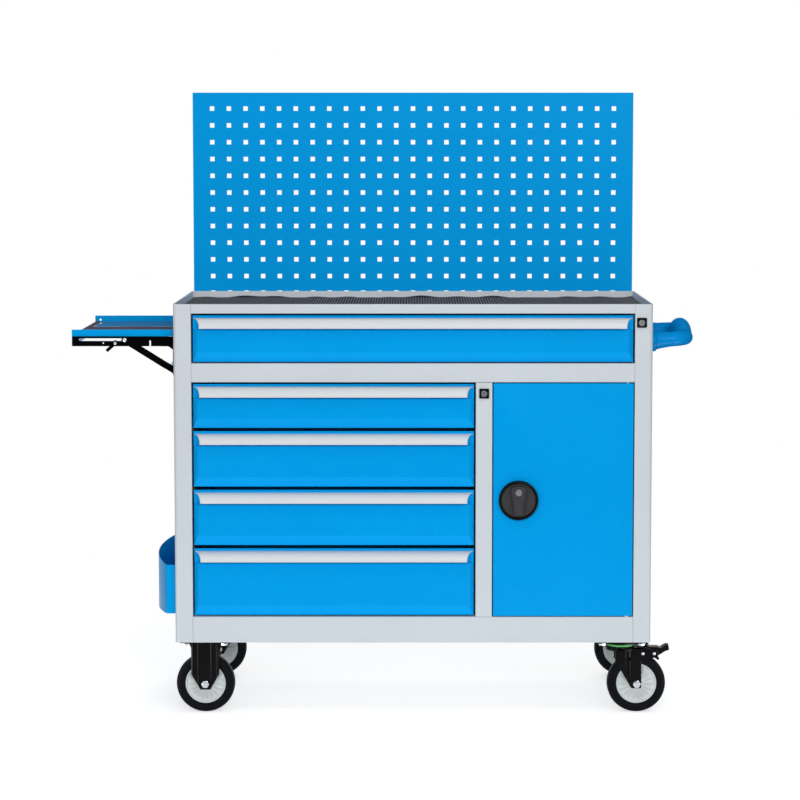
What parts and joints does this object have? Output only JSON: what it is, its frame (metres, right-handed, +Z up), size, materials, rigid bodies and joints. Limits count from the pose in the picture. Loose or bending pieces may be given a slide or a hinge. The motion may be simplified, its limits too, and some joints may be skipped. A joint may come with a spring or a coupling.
{
  "type": "tool cart",
  "caption": "Rolling sheet-metal tool cart with drawers, a cupboard, a pegboard, a folding side shelf, a side bin and a push handle.",
  "frame": {"origin": "on the floor, under the middle of the cabinet", "axes": "+Z up, +X along the cabinet's width towards the push handle, +Y from the drawer fronts to the back, so the drawers open towards -Y"},
  "size_m": [1.3245, 0.5353, 1.3275],
  "materials": {
    "grey_paint": "satin light-grey powder coat",
    "blue_paint": "semi-gloss bright-blue powder coat",
    "pull_aluminium": "anodised, fine-brushed",
    "handle_blue": "glossy moulded plastic",
    "mat_rubber": "matt ribbed rubber",
    "zinc_steel": "bright zinc plate",
    "black_plastic": "matt moulded plastic",
    "grey_plastic": "matt moulded plastic",
    "black_steel": "semi-gloss black paint",
    "seal_green": "moulded seal ring",
    "tyre_rubber": "smooth black rubber",
    "wheel_plastic": "moulded light-grey plastic"
  },
  "bodies": {
    "cabinet": {"left_side_panel": "grey_paint", "right_side_panel": "grey_paint", "side_liners": "grey_paint", "back_panel": "grey_paint", "base_pan": "grey_paint", "top_tray": "grey_paint", "front_rails": "grey_paint", "centre_post": "grey_paint", "centre_partition": "grey_paint", "divider_deck": "grey_paint", "cupboard_shelf": "grey_paint", "top_mat": "mat_rubber", "pegboard": "blue_paint", "hex_bolts": "zinc_steel", "push_handle": "handle_blue", "side_bin": "blue_paint", "lock_bodies": "black_plastic", "cabinet_slides": "zinc_steel", "door_pivot_pins": "zinc_steel", "shelf_wall_brackets": "black_steel", "fixed_forks": "black_steel", "fixed_axles": "zinc_steel", "swivel_plates": "black_steel", "swivel_seals": "seal_green"},
    "wide_drawer": {"wide_drawer": "blue_paint", "wide_drawer_pull": "pull_aluminium"},
    "drawer_1": {"drawer_1": "blue_paint", "drawer_1_pull": "pull_aluminium"},
    "drawer_2": {"drawer_2": "blue_paint", "drawer_2_pull": "pull_aluminium"},
    "drawer_3": {"drawer_3": "blue_paint", "drawer_3_pull": "pull_aluminium"},
    "drawer_4": {"drawer_4": "blue_paint", "drawer_4_pull": "pull_aluminium"},
    "door": {"door_panel": "blue_paint", "knob_housing": "black_plastic"},
    "knob": {"knob_grip": "grey_plastic", "latch_cam": "zinc_steel"},
    "knob_key_plug": {"knob_plug": "zinc_steel"},
    "upper_lock": {"upper_lock_plug": "zinc_steel"},
    "lower_lock": {"lower_lock_plug": "zinc_steel"},
    "shelf": {"shelf_tray": "blue_paint", "shelf_mat": "mat_rubber", "shelf_arms": "black_steel"},
    "struts": {"shelf_struts": "black_steel"},
    "levers": {"shelf_levers": "black_steel"},
    "front_left_wheel": {"front_left_tyre": "tyre_rubber", "front_left_hub": "wheel_plastic"},
    "front_swivel": {"front_swivel_fork": "black_steel", "front_swivel_axle": "zinc_steel"},
    "front_right_wheel": {"front_right_tyre": "tyre_rubber", "front_right_hub": "wheel_plastic"},
    "front_pedal": {"front_brake_pedal": "black_steel"},
    "rear_left_wheel": {"rear_left_tyre": "tyre_rubber", "rear_left_hub": "wheel_plastic"},
    "rear_swivel": {"rear_swivel_fork": "black_steel", "rear_swivel_axle": "zinc_steel"},
    "rear_right_wheel": {"rear_right_tyre": "tyre_rubber", "rear_right_hub": "wheel_plastic"}
  },
  "joints": [
    {"name": "wide_drawer_slide", "type": "slide", "parent": "cabinet", "child": "wide_drawer", "axis": [0, -1, 0], "range_m": [0, 0.33]},
    {"name": "drawer_1_slide", "type": "slide", "parent": "cabinet", "child": "drawer_1", "axis": [0, -1, 0], "range_m": [0, 0.33]},
    {"name": "drawer_2_slide", "type": "slide", "parent": "cabinet", "child": "drawer_2", "axis": [0, -1, 0], "range_m": [0, 0.33]},
    {"name": "drawer_3_slide", "type": "slide", "parent": "cabinet", "child": "drawer_3", "axis": [0, -1, 0], "range_m": [0, 0.33]},
    {"name": "drawer_4_slide", "type": "slide", "parent": "cabinet", "child": "drawer_4", "axis": [0, -1, 0], "range_m": [0, 0.33]},
    {"name": "door_hinge", "type": "hinge", "parent": "cabinet", "child": "door", "pos_m": [0.4535, -0.244, 0.462], "axis": [0, 0, 1], "range_deg": [0, 110]},
    {"name": "knob_turn", "type": "hinge", "parent": "door", "child": "knob", "pos_m": [0.223, -0.25, 0.462], "axis": [0, 1, 0], "range_deg": [0, 90]},
    {"name": "knob_key_turn", "type": "hinge", "parent": "knob", "child": "knob_key_plug", "pos_m": [0.223, -0.268, 0.48], "axis": [0, 1, 0], "range_deg": [0, 90]},
    {"name": "upper_lock_turn", "type": "hinge", "parent": "cabinet", "child": "upper_lock", "pos_m": [0.48125, -0.24, 0.838], "axis": [0, 1, 0], "range_deg": [0, 90]},
    {"name": "lower_lock_turn", "type": "hinge", "parent": "cabinet", "child": "lower_lock", "pos_m": [0.15, -0.24, 0.6885], "axis": [0, 1, 0], "range_deg": [0, 90]},
    {"name": "shelf_fold", "type": "hinge", "parent": "cabinet", "child": "shelf", "pos_m": [-0.521, 0, 0.8], "axis": [0, -1, 0], "range_deg": [0, 80]},
    {"name": "strut_turn", "type": "hinge", "parent": "cabinet", "child": "struts", "pos_m": [-0.521, 0, 0.745], "axis": [0, -1, 0], "range_deg": [0, 107]},
    {"name": "lever_press", "type": "hinge", "parent": "shelf", "child": "levers", "pos_m": [-0.63, 0, 0.7925], "axis": [0, 1, 0], "range_deg": [0, 15], "stiffness_Nm_per_rad": 0.3},
    {"name": "front_left_wheel_spin", "type": "hinge", "parent": "cabinet", "child": "front_left_wheel", "pos_m": [-0.444, -0.202, 0.0625], "axis": [0, 1, 0], "continuous": true},
    {"name": "front_swivel_turn", "type": "hinge", "parent": "cabinet", "child": "front_swivel", "pos_m": [0.445, -0.202, 0.145], "axis": [0, 0, 1], "continuous": true},
    {"name": "front_right_wheel_spin", "type": "hinge", "parent": "front_swivel", "child": "front_right_wheel", "pos_m": [0.478, -0.202, 0.0625], "axis": [0, 1, 0], "continuous": true},
    {"name": "front_pedal_press", "type": "hinge", "parent": "front_swivel", "child": "front_pedal", "pos_m": [0.515, -0.202, 0.1282], "axis": [0, 1, 0], "range_deg": [0, 12]},
    {"name": "rear_left_wheel_spin", "type": "hinge", "parent": "cabinet", "child": "rear_left_wheel", "pos_m": [-0.444, 0.202, 0.0625], "axis": [0, 1, 0], "continuous": true},
    {"name": "rear_swivel_turn", "type": "hinge", "parent": "cabinet", "child": "rear_swivel", "pos_m": [0.445, 0.202, 0.145], "axis": [0, 0, 1], "continuous": true},
    {"name": "rear_right_wheel_spin", "type": "hinge", "parent": "rear_swivel", "child": "rear_right_wheel", "pos_m": [0.478, 0.202, 0.0625], "axis": [0, 1, 0], "continuous": true}
  ],
  "couplings": [
    {"joint": "strut_turn", "follows": "shelf_fold", "ratio": 1.3335}
  ]
}
